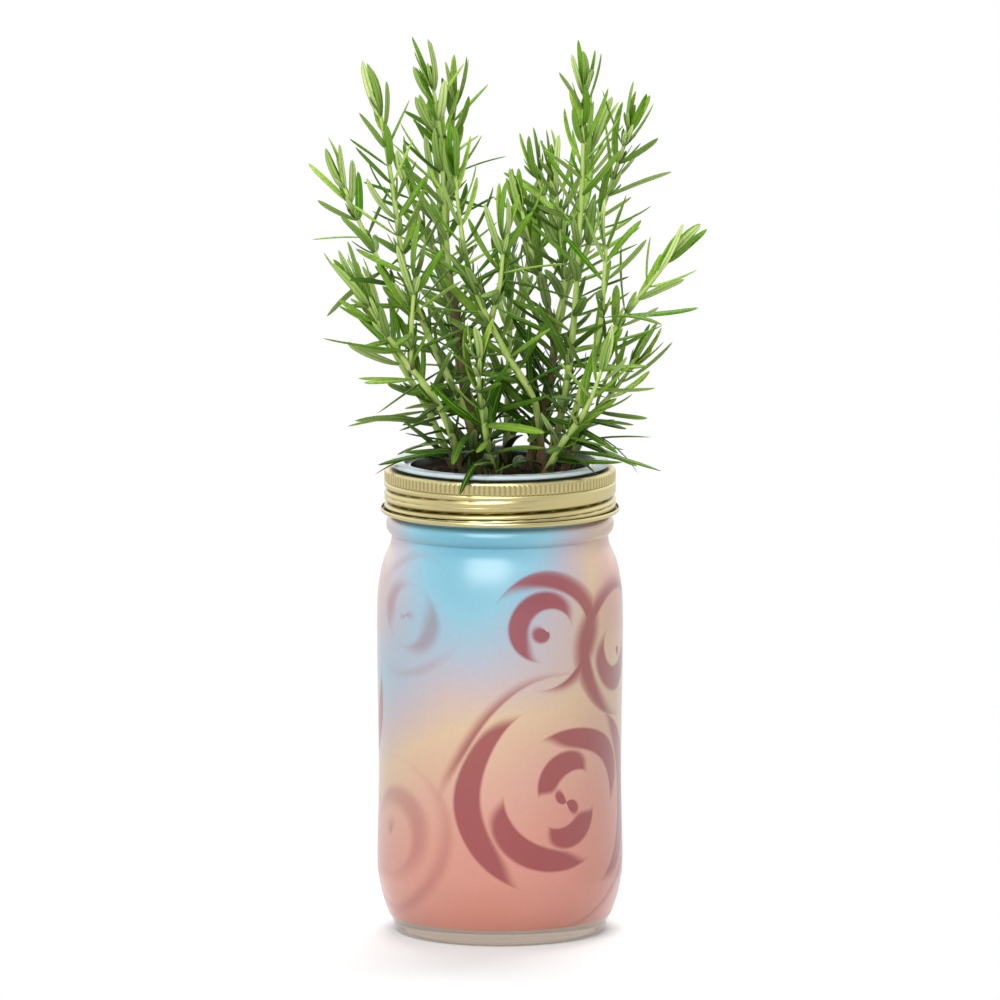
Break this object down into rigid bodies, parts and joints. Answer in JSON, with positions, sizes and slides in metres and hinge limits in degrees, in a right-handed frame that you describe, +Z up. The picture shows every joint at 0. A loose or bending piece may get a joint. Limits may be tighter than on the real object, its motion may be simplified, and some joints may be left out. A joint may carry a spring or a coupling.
{
  "type": "hydroponic jar planter",
  "caption": "Glass preserving jar used as a wick-fed hydroponic planter: printed film, screw band, soft collar, slotted steel net pot, grow medium and a leafy herb.",
  "frame": {"origin": "centre of the jar's foot, on the surface that it stands on", "axes": "+Z up along the jar's axis, the pictured front faces -Y"},
  "size_m": [0.1533, 0.1289, 0.3459],
  "materials": {
    "clear_glass": "clear, fire-polished",
    "printed_film": "glossy printed film, blue at the top to coral at the foot",
    "gold_tinplate": "satin gold lacquer on tinplate",
    "pale_silicone": "smooth, slightly translucent",
    "polished_steel": "polished",
    "coir": "crumbly, damp",
    "felt": "pressed felt",
    "foliage": "waxy leaves with pale undersides on green and woody stems"
  },
  "bodies": {
    "jar": {"glass_jar": "clear_glass", "printed_sleeve": "printed_film"},
    "collar": {"seat_ring": "pale_silicone"},
    "band": {"screw_band": "gold_tinplate"},
    "pot": {"net_pot": "polished_steel"},
    "plug": {"grow_medium": "coir", "wick": "felt", "sprig_left": "foliage", "sprig_left_tall": "foliage", "sprig_crossing": "foliage", "sprig_right_tall": "foliage", "sprig_woody": "foliage", "sprig_right_far": "foliage", "sprig_right_low": "foliage", "sprig_left_low": "foliage", "sprig_back_left": "foliage", "sprig_back_right": "foliage", "sprig_back_low": "foliage", "sprig_back_left_low": "foliage", "sprig_front": "foliage", "sprig_front_right": "foliage"}
  },
  "joints": [
    {"name": "band_rise", "type": "slide", "parent": "jar", "child": "collar", "axis": [0, 0, 1], "range_m": [0, 0.00635]},
    {"name": "band_turn", "type": "hinge", "parent": "collar", "child": "band", "pos_m": [0, 0, 0.17], "axis": [0, 0, 1], "range_deg": [0, 450.5]},
    {"name": "pot_lift", "type": "slide", "parent": "collar", "child": "pot", "axis": [0, 0, 1], "range_m": [0, 0.17]},
    {"name": "plug_lift", "type": "slide", "parent": "pot", "child": "plug", "axis": [0, 0, 1], "range_m": [0, 0.09]}
  ],
  "couplings": [
    {"joint": "band_turn", "follows": "band_rise", "rad_per_m": 1236.8}
  ]
}
